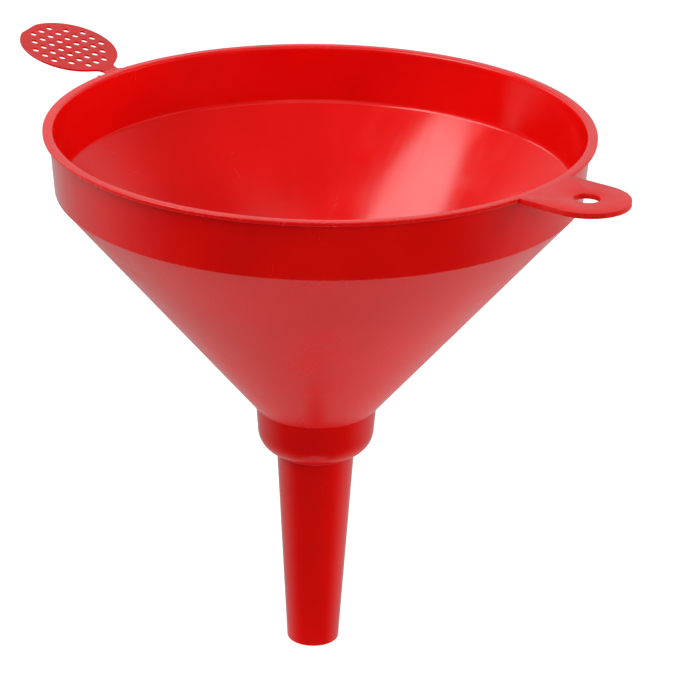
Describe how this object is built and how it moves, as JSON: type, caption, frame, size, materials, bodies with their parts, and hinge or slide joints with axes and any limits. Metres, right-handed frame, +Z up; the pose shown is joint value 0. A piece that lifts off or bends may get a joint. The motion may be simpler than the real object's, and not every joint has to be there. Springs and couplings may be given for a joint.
{
  "type": "fuel funnel",
  "caption": "Large round plastic funnel with a lipped rim, a collar, a tapered spout, a hanging lug and a strainer disc on a tear-off neck.",
  "frame": {"origin": "centre of the spout's open tip, on the funnel's axis", "axes": "+Z up along the funnel's axis from the tip to the rim, +X from the axis towards the hanging lug, with the strainer disc on the -X side"},
  "size_m": [0.3394, 0.25, 0.2704],
  "materials": {
    "gloss_red": "polished moulded polyethylene",
    "satin_red": "satin moulded polyethylene"
  },
  "bodies": {
    "funnel": {"rim_lip": "gloss_red", "rim_band": "gloss_red", "cone": "satin_red", "collar": "gloss_red", "spout": "gloss_red", "hanging_lug": "satin_red", "neck_root": "satin_red"},
    "strainer": {"neck_tip": "satin_red", "strainer_disc": "satin_red"}
  },
  "joints": [
    {"name": "strainer_neck", "type": "hinge", "parent": "funnel", "child": "strainer", "pos_m": [-0.1266, 0, 0.2574], "axis": [0, 1, 0], "range_deg": [-90, 90], "stiffness_Nm_per_rad": 0.07}
  ]
}
